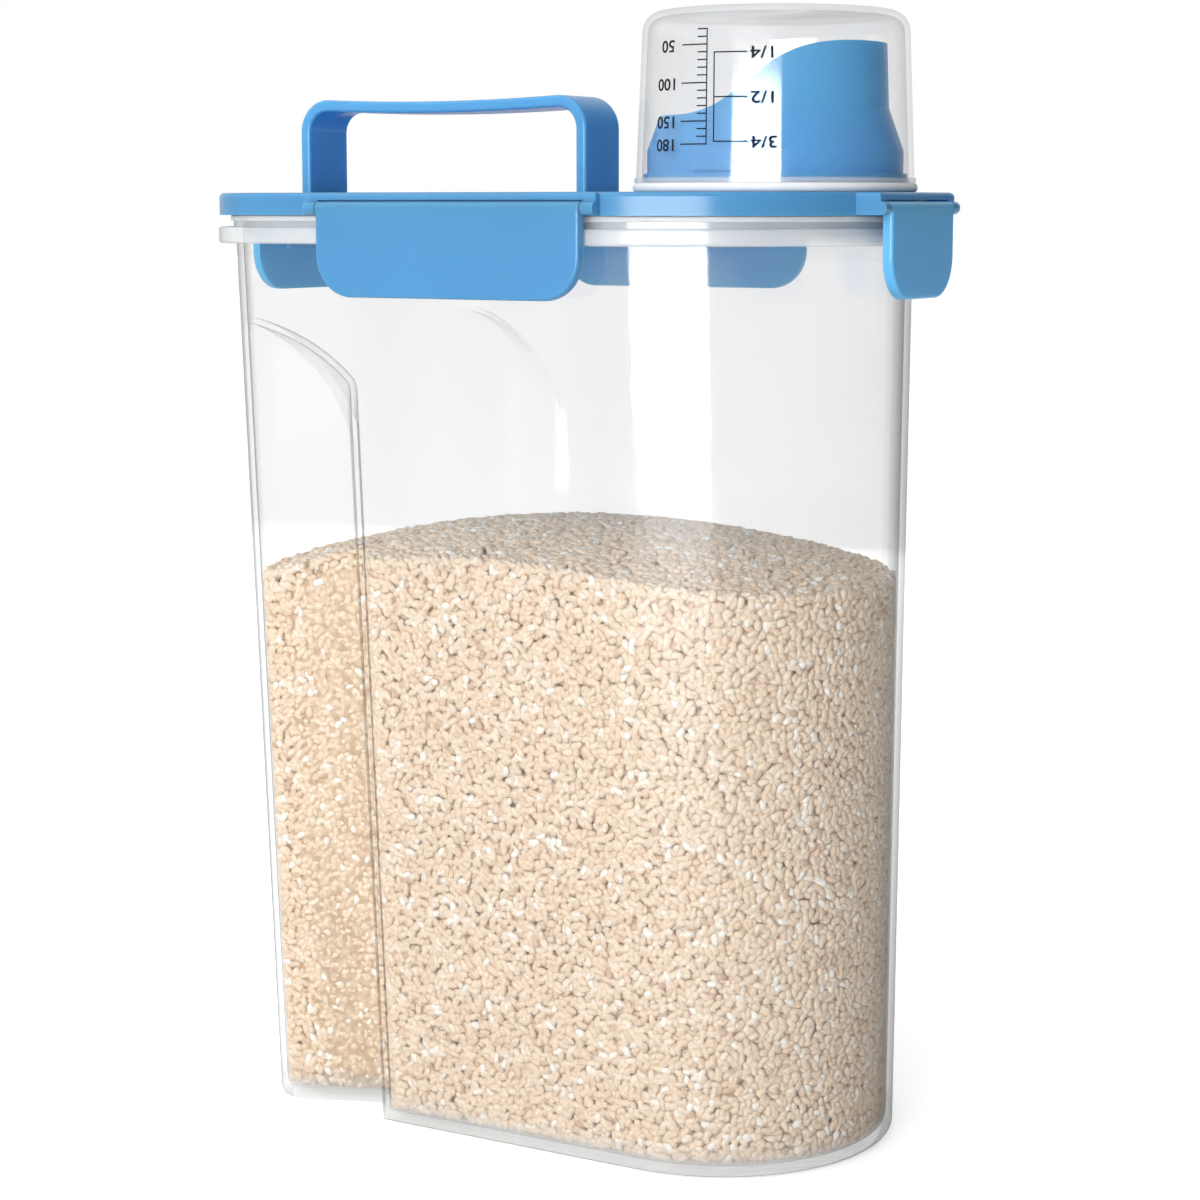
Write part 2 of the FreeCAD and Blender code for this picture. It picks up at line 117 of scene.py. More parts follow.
# Points in a ring measured along the wall, for grains and for the core
WALL_POINTS = 480
CORE_POINTS = 160
CORE_LEVELS = 26
CORE_TOP_SHARES = (0.85, 0.65, 0.45, 0.25, 0.1)

# Outer radius of the cup at its mouth and at its top
CUP_MOUTH_RADIUS = 0.0407
CUP_TOP_RADIUS = 0.0386
# Turn of the print from the cup's mouth to its top, which keeps it upright on the taper
PRINT_LEAN = math.radians(-1.3)
# Longest step of a printed line round the cup
PRINT_STEP = math.radians(2.5)
# Height of a digit as a share of the letter size, and how much wider than normal it is
DIGIT_SHARE = 0.68
DIGIT_STRETCH = 1.3
# Scale in millilitres: height of its zero above the lid, fall of one millilitre, and its marks
SCALE_ZERO = 0.0515
SCALE_FALL = 0.000212
SCALE_MARKS = range(30, 190, 10)
NUMBERED_MARKS = (50, 100, 150, 180)
# Angles round the cup from its near side: scale line, ends of its marks, and its numbers
SCALE_ANGLE = math.radians(-2.0)
LONG_MARK_ANGLE = math.radians(-14.8)
SHORT_MARK_ANGLE = math.radians(-6.6)
NUMBER_ANGLE = math.radians(-23.5)
# Quarters: heights above the lid, angle of their line, end of its branches, and their numbers
QUARTER_HEIGHTS = {"1/4": 0.0386, "1/2": 0.0263, "3/4": 0.0140}
QUARTER_ANGLE = math.radians(1.4)
BRANCH_ANGLE = math.radians(15.6)
FRACTION_ANGLE = math.radians(22.4)

# Floor, softboxes and top light
FLOOR_HALF = 12.0
FRONT_BEARING = math.radians(13.0)
KEY_DISTANCE = 1.5
KEY_HEIGHT = 0.75
KEY_SIZE = (0.9, 1.46)
GLEAM_DISTANCE = 1.42
GLEAM_HEIGHT = 0.26
GLEAM_SIZE = (1.05, 0.48)
BACK_PLACE = (-0.2, 1.3, 0.5)
BACK_AIM = (0.0, 0.0, 0.25)
BACK_SIZE = (1.6, 0.9)
TOP_PLACE = (-0.5, -0.6, 2.0)
TOP_AIM = (0.0, 0.0, 0.16)
TOP_SOFTNESS = math.radians(70.0)
# Where the surround starts to get darker towards the spout's side, and where it is darkest
DARK_START = -0.2
DARK_END = 0.5
# Clear surfaces that a line of sight may cross
CLEAR_SURFACES = 24


# Settings


class BlueSettings(bpy.types.PropertyGroup):
    """Finish of the lid, handle, spout and latches."""

    colour: FloatVectorProperty(
        name="Colour", description="Colour of the blue mouldings", subtype="COLOR",
        size=3, min=0.0, max=1.0, default=(0.074, 0.262, 0.50))
    roughness: FloatProperty(
        name="Roughness", description="How dull the moulded surface is", subtype="FACTOR",
        min=0.0, max=1.0, default=0.2)
    grain: FloatProperty(
        name="Grain", description="Size of the fine grain left by the mould", unit="LENGTH",
        min=0.0001, default=0.0007)


class ClearSettings(bpy.types.PropertyGroup):
    """Finish of the tub and the cup."""

    face_tint: FloatVectorProperty(
        name="Face tint", description="Light that passes a wall seen face on", subtype="COLOR",
        size=3, min=0.0, max=1.0, default=(0.977, 0.977, 0.978))
    # Edge tint: painted shade that greys the clear walls towards their silhouettes, where they are seen edge
    # on
    edge_tint: FloatVectorProperty(
        name="Painted edge shade", description="Light that passes a wall seen edge on", subtype="COLOR",
        size=3, min=0.0, max=1.0, default=(0.56, 0.565, 0.57))
    gloss: FloatProperty(
        name="Gloss", description="Share of light mirrored by a wall seen face on", subtype="FACTOR",
        min=0.0, max=1.0, default=0.052)
    rim_haze: FloatProperty(
        name="Rim haze", description="How frosted the rim of the tub is", subtype="FACTOR",
        min=0.0, max=1.0, default=0.45)


class RiceSettings(bpy.types.PropertyGroup):
    """Rice in the tub."""

    grain_length: FloatProperty(
        name="Grain length", description="Length of a grain", unit="LENGTH", min=0.001, default=0.0041)
    grain_width: FloatProperty(
        name="Grain width", description="Width of a grain", unit="LENGTH", min=0.0005, default=0.0027)
    grain_thickness: FloatProperty(
        name="Grain thickness", description="Thickness of a grain", unit="LENGTH",
        min=0.0005, default=0.0021)
    spacing: FloatProperty(
        name="Spacing", description="Distance between grains along the wall", unit="LENGTH",
        min=0.001, default=0.00218)
    crest: FloatProperty(
        name="Crest", description="Height of the rice in the middle of the tub", unit="LENGTH",
        min=0.02, default=0.184)
    seed: IntProperty(
        name="Seed", description="Start of the random lie of the grains", min=0, default=7)


class PrintSettings(bpy.types.PropertyGroup):
    """Printed scale on the cup."""

    ink: FloatVectorProperty(
        name="Ink", description="Colour of the printed scale", subtype="COLOR",
        size=3, min=0.0, max=1.0, default=(0.012, 0.013, 0.018))
    line: FloatProperty(
        name="Line", description="Width of the printed lines", unit="LENGTH", min=0.0001, default=0.00038)
    digit_height: FloatProperty(
        name="Digit height", description="Height of the printed numbers", unit="LENGTH",
        min=0.001, default=0.0032)
    bold: FloatProperty(
        name="Bold", description="How far each side of a number's stroke is widened", unit="LENGTH",
        min=0.0, default=0.00008)
    film: FloatProperty(
        name="Film", description="Thickness of the ink", unit="LENGTH", min=0.00001, default=0.00006)


class StudioSettings(bpy.types.PropertyGroup):
    """Camera, floor and light."""

    camera_place: FloatVectorProperty(
        name="Camera place", description="Where the camera stands", subtype="TRANSLATION", unit="LENGTH",
        size=3, default=(0.4253, -0.7307, 0.2813))
    camera_turn: FloatProperty(
        name="Camera turn", description="Turn of the camera about the upright axis", subtype="ANGLE",
        default=math.radians(30.02))
    camera_dip: FloatProperty(
        name="Camera dip", description="How far the camera looks down", subtype="ANGLE",
        default=math.radians(8.17))
    lens: FloatProperty(
        name="Lens", description="Focal length in millimetres", min=10.0, default=82.48)
    floor_colour: FloatVectorProperty(
        name="Floor colour", description="Colour of the floor", subtype="COLOR",
        size=3, min=0.0, max=1.0, default=(0.78, 0.78, 0.78))
    key_power: FloatProperty(
        name="Key power", description="Power of the tall softbox in front", unit="POWER",
        min=0.0, default=21.0)
    gleam_power: FloatProperty(
        name="Gleam power", description="Power of the softbox that only shows as a reflection", unit="POWER",
        min=0.0, default=17.0)
    back_power: FloatProperty(
        name="Back power", description="Power of the softbox behind", unit="POWER", min=0.0, default=6.0)
    sun_strength: FloatProperty(
        name="Top light", description="Strength of the soft light from above", min=0.0, default=0.8)
    surround: FloatProperty(
        name="Surround", description="Strength of the white surround as a light", min=0.0, default=0.72)
    dark_side: FloatProperty(
        name="Dark side", description="Strength of the surround on the spout's side", min=0.0, default=0.06)


class ContainerSettings(bpy.types.PropertyGroup):
    """All settings of the rice container."""

    blue: PointerProperty(name="Blue plastic", description="Finish of the blue mouldings", type=BlueSettings)
    clear: PointerProperty(name="Clear plastic", description="Finish of the tub and cup", type=ClearSettings)
    rice: PointerProperty(name="Rice", description="Rice in the tub", type=RiceSettings)
    print: PointerProperty(name="Print", description="Printed scale on the cup", type=PrintSettings)
    studio: PointerProperty(name="Studio", description="Camera, floor and light", type=StudioSettings)


# Materials


def blank_material(name):
    """New material with an empty node tree and its output node."""
    material = bpy.data.materials.new(name)
    material.use_nodes = True
    tree = material.node_tree
    tree.nodes.clear()
    output = tree.nodes.new("ShaderNodeOutputMaterial")
    return material, tree, output


def add_node(tree, kind, sockets=None, **attributes):
    """Add a node, set its attributes, and link or set its input sockets."""
    node = tree.nodes.new(kind)
    for name, value in attributes.items():
        setattr(node, name, value)
    for name, value in (sockets or {}).items():
        if isinstance(value, bpy.types.NodeSocket):
            tree.links.new(value, node.inputs[name])
        else:
            node.inputs[name].default_value = value
    return node


def noise(tree, coords, scale, detail=2.0):
    """Noise value at the given coordinates."""
    sockets = {"Vector": coords, "Scale": scale, "Detail": detail}
    return add_node(tree, "ShaderNodeTexNoise", sockets).outputs["Fac"]


def object_coords(tree):
    """Coordinates of the object, in metres."""
    return add_node(tree, "ShaderNodeTexCoord").outputs["Object"]


def ramp(tree, factor, stops):
    """Colour ramp through (position, colour) stops."""
    node = add_node(tree, "ShaderNodeValToRGB", {"Fac": factor})
    elements = node.color_ramp.elements
    while len(elements) < len(stops):
        elements.new(0.5)
    for element, (position, colour) in zip(elements, stops):
        element.position = position
        element.color = (*colour[:3], 1.0)
    return node.outputs["Color"]


def spread(tree, value, low, high, start=0.3, end=0.7):
    """Stretch a noise value onto a range."""
    sockets = {"Value": value, "From Min": start, "From Max": end, "To Min": low, "To Max": high}
    return add_node(tree, "ShaderNodeMapRange", sockets, clamp=True).outputs["Result"]


def maths(tree, operation, first, second):
    """Result of a sum on two values."""
    return add_node(tree, "ShaderNodeMath", {0: first, 1: second}, operation=operation).outputs[0]


def bump(tree, height, strength, distance):
    """Normal that follows a height."""
    sockets = {"Height": height, "Strength": strength, "Distance": distance}
    return add_node(tree, "ShaderNodeBump", sockets).outputs["Normal"]


def shade(colour, factor):
    """Colour made lighter or darker."""
    return tuple(min(1.0, channel * factor) for channel in colour)


def dress(node, material):
    """Give a CAD node its material in every slot."""
    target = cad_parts[node]
    if not target.material_slots:
        target.data.materials.append(material)
    for place in target.material_slots:
        place.material = material


def blue_plastic(name, settings, dullness, painted_light=1.0):
    """Moulded blue plastic: cloudy colour, fine mould grain and soft gloss; the paleness factor lightens the
    colour as painted light for pieces in shade.
    """
    material, tree, output = blank_material(name)
    coords = object_coords(tree)
    cloud = noise(tree, coords, 22.0, 3.0)
    fine = noise(tree, coords, 1.0 / settings.grain, 2.0)
    rub = noise(tree, coords, 95.0, 4.0)
    base = shade(settings.colour, painted_light)
    colour = ramp(tree, cloud, [(0.32, shade(base, 0.95)), (0.68, shade(base, 1.05))])
    low = settings.roughness * dullness
    roughness = spread(tree, rub, low - 0.012, low + 0.02, 0.2, 0.8)
    surface = add_node(tree, "ShaderNodeBsdfPrincipled", {
        "Base Color": colour,
        "Roughness": roughness,
        "IOR": 1.5,
        "Specular IOR Level": 0.35,
        "Subsurface Weight": 0.4,
        "Subsurface Radius": (0.4, 0.7, 1.0),
        "Subsurface Scale": 0.012,
        "Normal": bump(tree, fine, 0.05, 0.0001),
    })
    tree.links.new(surface.outputs["BSDF"], output.inputs["Surface"])
    return material


def clear_plastic(name, settings, edge_tint, rear_gloss_share, haze):
    """Clear plastic wall: see-through face on, glossy edge on with painted grey shade along its silhouettes,
    milky by haze, and with less mirror behind the grip front, a painted shade that keeps the softbox's
    reflection off the rear.
    """
    material, tree, output = blank_material(name)
    coords = object_coords(tree)
    facing = add_node(tree, "ShaderNodeLayerWeight", {"Blend": 0.5}).outputs["Facing"]
    # Transparent colour greys from the face tint to the edge tint as the wall turns edge on: painted shade
    # along its silhouettes
    tint = ramp(tree, facing, [
        (0.0, settings.face_tint),
        (0.58, shade(settings.face_tint, 0.985)),
        (0.84, [(face + 2.0 * edge) / 3.0 for face, edge in zip(settings.face_tint, edge_tint)]),
        (1.0, edge_tint),
    ])
    ripple = bump(tree, noise(tree, coords, 26.0, 1.0), 0.04, 0.002)
    mirror = maths(tree, "MULTIPLY", maths(tree, "POWER", facing, 5.0), 0.2)
    mirror = maths(tree, "ADD", mirror, settings.gloss)
    # Less mirror behind the grip front: painted shade that keeps the softbox's reflection off the rear of
    # the tub
    along = add_node(tree, "ShaderNodeSeparateXYZ", {0: coords}).outputs["X"]
    kept = spread(tree, along, rear_gloss_share, 1.0, GRIP_FRONT - GRIP_FADE, GRIP_FRONT + GRIP_FADE)
    mirror = maths(tree, "MULTIPLY", mirror, kept)
    through = add_node(tree, "ShaderNodeBsdfTransparent", {"Color": tint})
    gloss = add_node(tree, "ShaderNodeBsdfGlossy", {
        "Color": (1.0, 1.0, 1.0, 1.0),
        "Roughness": spread(tree, noise(tree, coords, 120.0, 3.0), 0.06, 0.09),
        "Normal": ripple,
    })
    wall = add_node(tree, "ShaderNodeMixShader", {0: mirror, 1: through.outputs[0], 2: gloss.outputs[0]})
    cloud = noise(tree, coords, 60.0, 3.0)
    milk = add_node(tree, "ShaderNodeBsdfPrincipled", {
        "Base Color": ramp(tree, cloud, [(0.3, (0.80, 0.83, 0.84)), (0.7, (0.90, 0.92, 0.92))]),
        "Roughness": 0.3,
        "IOR": 1.49,
    })
    blend = add_node(tree, "ShaderNodeMixShader", {
        0: haze(tree, coords), 1: wall.outputs[0], 2: milk.outputs[0]})
    tree.links.new(blend.outputs[0], output.inputs["Surface"])
    return material


def height_of(tree, coords):
    """Height above the resting face."""
    return add_node(tree, "ShaderNodeSeparateXYZ", {0: coords}).outputs["Z"]


def step_at(tree, height, level, soft):
    """Smooth step from 0 below a height to 1 above it."""
    sockets = {"Value": height, "From Min": level - soft, "From Max": level + soft}
    step = add_node(tree, "ShaderNodeMapRange", sockets, clamp=True, interpolation_type="SMOOTHSTEP")
    return step.outputs["Result"]


def tub_haze(settings):
    """Haze of the tub: frosted rim, milky foot, almost clear wall."""
    def haze(tree, coords):
        height = height_of(tree, coords)
        rim = step_at(tree, height, TUB_HIGH.z - RIM_DEPTH, RIM_FADE)
        rim = maths(tree, "MULTIPLY", rim, settings.rim_haze)
        foot = step_at(tree, height, TUB_LOW.z + FOOT_BAND, FOOT_FADE)
        foot = maths(tree, "MULTIPLY", maths(tree, "SUBTRACT", 1.0, foot), 0.2)
        cloud = spread(tree, noise(tree, coords, 9.0, 2.0), 0.01, 0.022)
        return maths(tree, "ADD", cloud, maths(tree, "ADD", rim, foot))
    return haze


def cup_haze(tree, coords):
    """Haze of the cup: slightly milky along its mouth."""
    height = height_of(tree, coords)
    band = maths(tree, "SUBTRACT", 1.0, step_at(tree, height, CUP_LOW.z + MOUTH_BAND, MOUTH_FADE))
    cloud = spread(tree, noise(tree, coords, 16.0, 2.0), 0.006, 0.014)
    return maths(tree, "ADD", cloud, maths(tree, "MULTIPLY", band, 0.3))


def soft_white(name):
    """White silicone with a faint cloud and a dry surface."""
    material, tree, output = blank_material(name)
    coords = object_coords(tree)
    cloud = noise(tree, coords, 70.0, 3.0)
    surface = add_node(tree, "ShaderNodeBsdfPrincipled", {
        "Base Color": ramp(tree, cloud, [(0.3, (0.80, 0.82, 0.82)), (0.7, (0.90, 0.91, 0.91))]),
        "Roughness": spread(tree, noise(tree, coords, 300.0, 2.0), 0.38, 0.52),
        "IOR": 1.42,
        "Normal": bump(tree, noise(tree, coords, 1600.0, 2.0), 0.08, 0.0001),
    })
    tree.links.new(surface.outputs["BSDF"], output.inputs["Surface"])
    return material


def drawn_wire(name):
    """Steel wire with fine lengthwise scratches."""
    material, tree, output = blank_material(name)
    coords = object_coords(tree)
    scratch = noise(tree, coords, 2600.0, 2.0)
    surface = add_node(tree, "ShaderNodeBsdfPrincipled", {
        "Base Color": ramp(tree, scratch, [(0.3, (0.42, 0.43, 0.45)), (0.7, (0.62, 0.63, 0.65))]),
        "Metallic": 1.0,
        "Roughness": spread(tree, scratch, 0.25, 0.4),
        "Normal": bump(tree, scratch, 0.1, 0.00005),
    })
    tree.links.new(surface.outputs["BSDF"], output.inputs["Surface"])
    return material


def rice_skin(name):
    """Polished rice: cream to chalk white, one tone for each grain, with a faint streak."""
    material, tree, output = blank_material(name)
    tone = add_node(tree, "ShaderNodeAttribute", attribute_name="tone").outputs["Fac"]
    coords = object_coords(tree)
    streak = spread(tree, noise(tree, coords, 700.0, 2.0), -0.06, 0.06)
    colour = ramp(tree, maths(tree, "ADD", tone, streak), [
        (0.0, (0.56, 0.38, 0.25)),
        (0.25, (0.78, 0.59, 0.42)),
        (0.70, (0.88, 0.73, 0.56)),
        (0.90, (0.92, 0.82, 0.69)),
        (1.0, (0.97, 0.95, 0.90)),
    ])
    surface = add_node(tree, "ShaderNodeBsdfPrincipled", {
        "Base Color": colour,
        "Roughness": spread(tree, noise(tree, coords, 400.0, 2.0), 0.38, 0.55),
        "IOR": 1.45,
    })
    tree.links.new(surface.outputs["BSDF"], output.inputs["Surface"])
    return material


def rice_depth(name):
    """Rice deeper in, seen between the outer grains, in a darker tan that paints the shade in the gaps,
    darkest towards its cell edges.
    """
    material, tree, output = blank_material(name)
    coords = object_coords(tree)
    # Voronoi cells darken towards their edges: painted shade between the deeper grains
    cells = add_node(tree, "ShaderNodeTexVoronoi", {"Vector": coords, "Scale": 380.0}).outputs["Distance"]
    surface = add_node(tree, "ShaderNodeBsdfPrincipled", {
        "Base Color": ramp(tree, cells, [(0.1, (0.80, 0.64, 0.47)), (0.7, (0.58, 0.42, 0.28))]),
        "Roughness": 0.7,
        "Normal": bump(tree, cells, 0.6, 0.001),
    })
    tree.links.new(surface.outputs["BSDF"], output.inputs["Surface"])
    return material


def scale_ink(name, settings):
    """Screen-printed ink with small differences in cover."""
    material, tree, output = blank_material(name)
    cover = noise(tree, object_coords(tree), 900.0, 3.0)
    surface = add_node(tree, "ShaderNodeBsdfPrincipled", {
        "Base Color": ramp(tree, cover, [(0.3, settings.ink), (0.75, shade(settings.ink, 2.2))]),
        "Roughness": spread(tree, cover, 0.45, 0.65),
        "Specular IOR Level": 0.04,
    })
    tree.links.new(surface.outputs["BSDF"], output.inputs["Surface"])
    return material


def floor_paint(name, settings):
    """Pale floor that glows a little where it is seen, so that it runs into the white surround."""
    material, tree, output = blank_material(name)
    seen = add_node(tree, "ShaderNodeLightPath").outputs["Is Camera Ray"]
    cloud = noise(tree, object_coords(tree), 3.0, 2.0)
    stops = [(0.3, shade(settings.floor_colour, 0.99)), (0.7, settings.floor_colour)]
    surface = add_node(tree, "ShaderNodeBsdfPrincipled", {
        "Base Color": ramp(tree, cloud, stops),
        "Roughness": 0.6,
        "Specular IOR Level": 0.2,
        "Emission Color": (1.0, 1.0, 1.0, 1.0),
        "Emission Strength": spread(tree, seen, 0.0, 0.5, 0.0, 1.0),
    })
    tree.links.new(surface.outputs["BSDF"], output.inputs["Surface"])
    return material


# Meshes


def link_mesh(name, mesh, material):
    """Put a mesh into the scene as a named object."""
    piece = bpy.data.objects.new(name, mesh)
    mesh.materials.append(material)
    bpy.context.scene.collection.objects.link(piece)
    return piece


def mesh_from_arrays(name, points, corners, starts):
    """Mesh from flat arrays of points, face corners and the first corner of each face."""
    mesh = bpy.data.meshes.new(name)
    mesh.vertices.add(len(points))
    mesh.vertices.foreach_set("co", np.asarray(points, dtype=np.float32).ravel())
    mesh.loops.add(len(corners))
    mesh.loops.foreach_set("vertex_index", np.asarray(corners, dtype=np.int32))
    mesh.polygons.add(len(starts))
    mesh.polygons.foreach_set("loop_start", np.asarray(starts, dtype=np.int32))
    mesh.update(calc_edges=True)
    mesh.shade_smooth()
    return mesh


# Rice


def grain_template():
    """Unit grain along X: points, face corners and the first corner of each face."""
    points = [(-1.0, 0.0, 0.0)]
    for station in GRAIN_STATIONS:
        girth = (1.0 - station * station) ** 0.5
        for side in range(GRAIN_SIDES):
            angle = 2.0 * math.pi * side / GRAIN_SIDES
            points.append((station, girth * math.cos(angle), girth * math.sin(angle)))
    points.append((1.0, 0.0, 0.0))
    last = len(points) - 1
    faces = []
    for side in range(GRAIN_SIDES):
        after = (side + 1) % GRAIN_SIDES
        faces.append((0, 1 + after, 1 + side))
        for ring in range(len(GRAIN_STATIONS) - 1):
            low = 1 + ring * GRAIN_SIDES
            high = low + GRAIN_SIDES
            faces.append((low + side, low + after, high + after, high + side))
        low = 1 + (len(GRAIN_STATIONS) - 1) * GRAIN_SIDES
        faces.append((last, low + side, low + after))
    corners = [corner for face in faces for corner in face]
    lengths = [len(face) for face in faces]
    starts = np.concatenate(([0], np.cumsum(lengths)[:-1]))
    return np.array(points), np.array(corners), starts


def rice_height(x, y, crest):
    """Height of the heap: highest in the middle, lower towards both ends."""
    along = (x - HEAP_MIDDLE) / HEAP_REACH
    fall = np.where(along < 0.0, HEAP_REAR_FALL, HEAP_FRONT_FALL)
    return crest - fall * along ** 2 - HEAP_SIDE_FALL * (y / HEAP_HALF_WIDTH) ** 2


def tub_surface():
    """Search tree over the faces of the tub."""
    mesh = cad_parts["container_body"].data
    points = [vertex.co for vertex in mesh.vertices]
    return BVHTree.FromPolygons(points, [tuple(face.vertices) for face in mesh.polygons])


def tub_ring(surface, height, count):
    """Points and inward normals on the inside of the tub wall at a height."""
    places = np.zeros((count, 3))
    normals = np.zeros((count, 3))
    for index in range(count):
        angle = 2.0 * math.pi * index / count
        place, normal, _, _ = surface.ray_cast(
            Vector((0.0, 0.0, height)), Vector((math.cos(angle), math.sin(angle), 0.0)))
        if place is None:
            raise RuntimeError("The tub wall has a hole at height %.4f" % height)
        places[index] = place
        normals[index] = normal
    return places, normals


def along_ring(places, normals, distances):
    """Points and normals at distances along a closed ring."""
    closed = np.vstack((places, places[:1]))
    runs = np.linalg.norm(np.diff(closed, axis=0), axis=1)
    total = runs.sum()
    marks = np.concatenate(([0.0], np.cumsum(runs)))
    where = np.mod(distances, total)
    turn = np.vstack((normals, normals[:1]))
    spots = np.stack([np.interp(where, marks, closed[:, axis]) for axis in range(3)], axis=1)
    faces = np.stack([np.interp(where, marks, turn[:, axis]) for axis in range(3)], axis=1)
    return spots, faces / np.linalg.norm(faces, axis=1, keepdims=True)


def ring_length(places):
    """Length of a closed ring."""
    return np.linalg.norm(np.diff(np.vstack((places, places[:1])), axis=0), axis=1).sum()


def wall_grains(surface, settings, random, depth, pitch):
    """Places and wall normals for one layer of grains against the tub wall."""
    spots = []
    faces = []
    height = TUB_FLOOR + settings.grain_thickness * 0.75
    row = 0
    while height < settings.crest:
        places, normals = tub_ring(surface, height, WALL_POINTS)
        length = ring_length(places)
        count = int(length / pitch)
        along = (np.arange(count) + 0.5 * (row % 2) + random.uniform(-0.42, 0.42, count)) * length / count
        spot, face = along_ring(places, normals, along)
        spot[:, 2] += random.uniform(-0.4, 0.4, count) * pitch
        spot[:, 2] = np.maximum(spot[:, 2], TUB_FLOOR + settings.grain_thickness * 0.6)
        spot += face * depth
        below = spot[:, 2] < rice_height(spot[:, 0], spot[:, 1], settings.crest) + HEAP_SLACK
        spots.append(spot[below])
        faces.append(face[below])
        height += pitch * 0.88
        row += 1
    return np.vstack(spots), np.vstack(faces)


def top_grains(surface, settings, random, pitch):
    """Places for the grains on top of the heap."""
    places, _ = tub_ring(surface, settings.crest - HEAP_EDGE_DROP, WALL_POINTS)
    angles = np.arctan2(places[:, 1], places[:, 0])
    order = np.argsort(angles)
    reach = np.hypot(places[:, 0], places[:, 1])[order]
    xs = np.arange(TUB_LOW.x, TUB_HIGH.x, pitch)
    ys = np.arange(TUB_LOW.y, TUB_HIGH.y, pitch * 0.87)
    grid_x, grid_y = np.meshgrid(xs, ys)
    grid_x[1::2] += pitch * 0.5
    x = grid_x.ravel() + random.uniform(-0.45, 0.45, grid_x.size) * pitch
    y = grid_y.ravel() + random.uniform(-0.45, 0.45, grid_y.size) * pitch
    limit = np.interp(np.arctan2(y, x), angles[order], reach, period=2.0 * math.pi)
    inside = np.hypot(x, y) < limit - TOP_ROOM
    x, y = x[inside], y[inside]
    z = rice_height(x, y, settings.crest) + random.uniform(*TOP_UNEVEN, x.size)
    return np.stack((x, y, z), axis=1), np.tile((0.0, 0.0, 1.0), (x.size, 1))


def grain_axes(faces, random, lean):
    """Long, wide and thin axis of each grain, lying roughly along the surface behind it."""
    count = len(faces)
    helper = np.where(np.abs(faces[:, 2:3]) < 0.9, (0.0, 0.0, 1.0), (1.0, 0.0, 0.0))
    first = np.cross(helper, faces)
    first /= np.linalg.norm(first, axis=1, keepdims=True)
    second = np.cross(faces, first)
    spin = random.uniform(0.0, math.pi, (count, 1))
    tilt = random.normal(0.0, lean, (count, 1)).clip(-2.0 * lean, 2.0 * lean)
    flat = first * np.cos(spin) + second * np.sin(spin)
    long_axis = flat * np.cos(tilt) + faces * np.sin(tilt)
    wide_axis = np.cross(faces, flat)
    roll = random.uniform(-0.4, 0.4, (count, 1))
    thin_axis = np.cross(long_axis, wide_axis)
    wide, thin = (
        wide_axis * np.cos(roll) + thin_axis * np.sin(roll),
        thin_axis * np.cos(roll) - wide_axis * np.sin(roll),
    )
    return long_axis, wide, thin


def keep_clear(surface, spots, long_axis, half, room):
    """Move grains off the tub wall where an end would touch it."""
    for index in range(len(spots)):
        for end in (-1.0, 1.0):
            tip = Vector(spots[index] + long_axis[index] * half[index] * end * 0.8)
            near, normal, _, _ = surface.find_nearest(tip)
            short = room - (tip - near).dot(normal)
            if short > 0.0:
                spots[index] += np.array(normal) * short


def grain_piece(name, spots, axes, sizes, tones, material):
    """One mesh that holds many grains."""
    points, corners, starts = grain_template()
    count = len(spots)
    moved = spots[:, None, :].copy()
    moved = moved + points[None, :, 0:1] * (axes[0] * sizes[:, 0:1])[:, None, :]
    moved = moved + points[None, :, 1:2] * (axes[1] * sizes[:, 1:2])[:, None, :]
    moved = moved + points[None, :, 2:3] * (axes[2] * sizes[:, 2:3])[:, None, :]
    offsets = np.arange(count)[:, None]
    mesh = mesh_from_arrays(
        name,
        moved.reshape(-1, 3),
        (corners[None, :] + offsets * len(points)).ravel(),
        (starts[None, :] + offsets * len(corners)).ravel(),
    )
    tone = mesh.attributes.new("tone", "FLOAT", "POINT")
    tone.data.foreach_set("value", np.repeat(tones, len(points)).astype(np.float32))
    piece = link_mesh(name, mesh, material)
    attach(piece, "container")
    return piece


def rice_core(surface, settings, inset, material):
    """Closed body of rice behind the outer grains."""
    count = CORE_POINTS
    floor = TUB_FLOOR + CORE_FLOOR_ROOM
    rows = []
    edge, _ = tub_ring(surface, settings.crest - HEAP_EDGE_DROP, count)
    tops = rice_height(edge[:, 0], edge[:, 1], settings.crest) - inset
    for level in range(CORE_LEVELS + 1):
        share = level / CORE_LEVELS
        ring = np.zeros((count, 3))
        heights = floor + (tops - floor) * share
        for index in range(count):
            angle = 2.0 * math.pi * index / count
            place, _, _, _ = surface.ray_cast(
                Vector((0.0, 0.0, heights[index] + CORE_FOOT_LIFT * (1.0 - share))),
                Vector((math.cos(angle), math.sin(angle), 0.0)))
            reach = math.hypot(place.x, place.y)
            scale = (reach - inset * 1.3) / reach
            ring[index] = (place.x * scale, place.y * scale, heights[index])
        rows.append(ring)
    for share in CORE_TOP_SHARES:
        ring = rows[CORE_LEVELS].copy()
        ring[:, :2] *= share
        ring[:, 2] = rice_height(ring[:, 0], ring[:, 1], settings.crest) - inset
        rows.append(ring)
    points = [tuple(point) for ring in rows for point in ring]
    faces = []
    for row in range(len(rows) - 1):
        for index in range(count):
            after = (index + 1) % count
            low, high = row * count, (row + 1) * count
            faces.append((low + index, low + after, high + after, high + index))
    faces.append(tuple(range(count - 1, -1, -1)))
    faces.append(tuple(range((len(rows) - 1) * count, len(rows) * count)))
    mesh = bpy.data.meshes.new("rice_core")
    mesh.from_pydata(points, [], faces)
    mesh.shade_smooth()
    piece = link_mesh("rice_core", mesh, material)
    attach(piece, "container")


